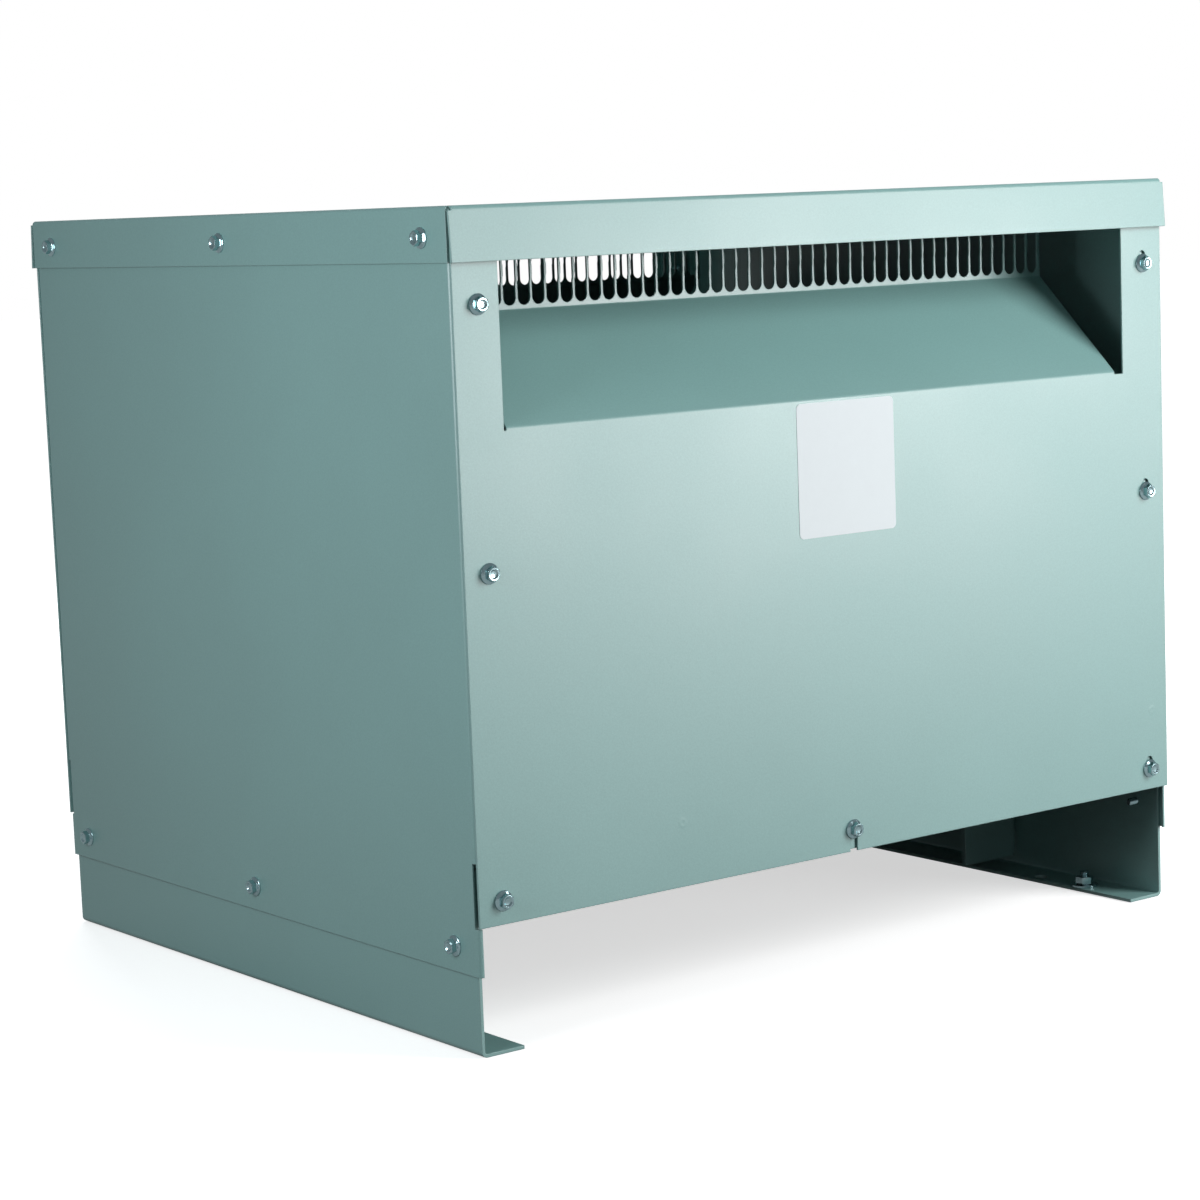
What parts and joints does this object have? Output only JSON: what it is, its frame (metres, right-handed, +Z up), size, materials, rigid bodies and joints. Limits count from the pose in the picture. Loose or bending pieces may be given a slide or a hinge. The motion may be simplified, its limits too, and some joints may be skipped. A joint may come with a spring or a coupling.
{
  "type": "power conditioner",
  "caption": "Floor-standing ferroresonant power conditioner in a vented folded-sheet cabinet on two base rails, with core, coils, capacitors and terminal block inside.",
  "frame": {"origin": "on the floor, at the centre of the cabinet's plan", "axes": "+X to the cabinet's right seen from the front, +Y to the rear, +Z up"},
  "size_m": [0.7044, 0.6124, 0.586],
  "materials": {
    "cabinet_enamel": "satin grey-green baked enamel on folded sheet",
    "bright_zinc": "bright zinc plate",
    "plated_sheet": "dull zinc-coated sheet",
    "lamination_steel": "varnished stacked steel sheets",
    "black_steel": "black painted steel",
    "coil_varnish": "varnished insulating wrap",
    "insulating_board": "pressed insulating board",
    "pad_rubber": "matt black rubber",
    "can_aluminium": "drawn aluminium",
    "bus_copper": "bare copper strip",
    "terminal_brass": "machined brass",
    "block_plastic": "black moulded plastic",
    "lead_sleeve": "black insulated lead",
    "label_film": "bare white label film"
  },
  "bodies": {
    "root": {"top_cover": "cabinet_enamel", "front_panel": "cabinet_enamel", "rear_panel": "cabinet_enamel", "left_side_panel": "cabinet_enamel", "right_side_panel": "cabinet_enamel", "left_base_rail": "cabinet_enamel", "right_base_rail": "cabinet_enamel", "front_cross_member": "cabinet_enamel", "rear_cross_member": "cabinet_enamel", "core_cleats": "cabinet_enamel", "core_beams": "cabinet_enamel", "front_panel_screws": "bright_zinc", "rear_panel_screws": "bright_zinc", "left_side_screws": "bright_zinc", "right_side_screws": "bright_zinc", "cover_screws": "bright_zinc", "capacitor_screws": "bright_zinc", "ground_stud": "bright_zinc", "ground_stud_washer": "bright_zinc", "ground_stud_nut": "bright_zinc", "cross_member_bolts": "bright_zinc", "cross_member_nuts": "bright_zinc", "beam_bolts": "bright_zinc", "beam_nuts": "bright_zinc", "core_foot_bolts": "bright_zinc", "core_foot_nuts": "bright_zinc", "terminal_panel_bolts": "bright_zinc", "terminal_panel_nuts": "bright_zinc", "core_bolts": "bright_zinc", "core_bolt_nuts": "bright_zinc", "capacitor_tray": "plated_sheet", "capacitor_rack": "plated_sheet", "terminal_panel": "plated_sheet", "core_laminations": "lamination_steel", "magnetic_shunts": "lamination_steel", "lower_core_clamps": "black_steel", "upper_core_clamps": "black_steel", "primary_coil": "coil_varnish", "secondary_coil": "coil_varnish", "coil_former": "insulating_board", "vibration_pads": "pad_rubber", "capacitors": "can_aluminium", "capacitor_bus_bars": "bus_copper", "terminal_studs": "terminal_brass", "terminal_block": "block_plastic", "coil_leads": "lead_sleeve", "capacitor_leads": "lead_sleeve", "rating_label": "label_film"}
  },
  "joints": []
}
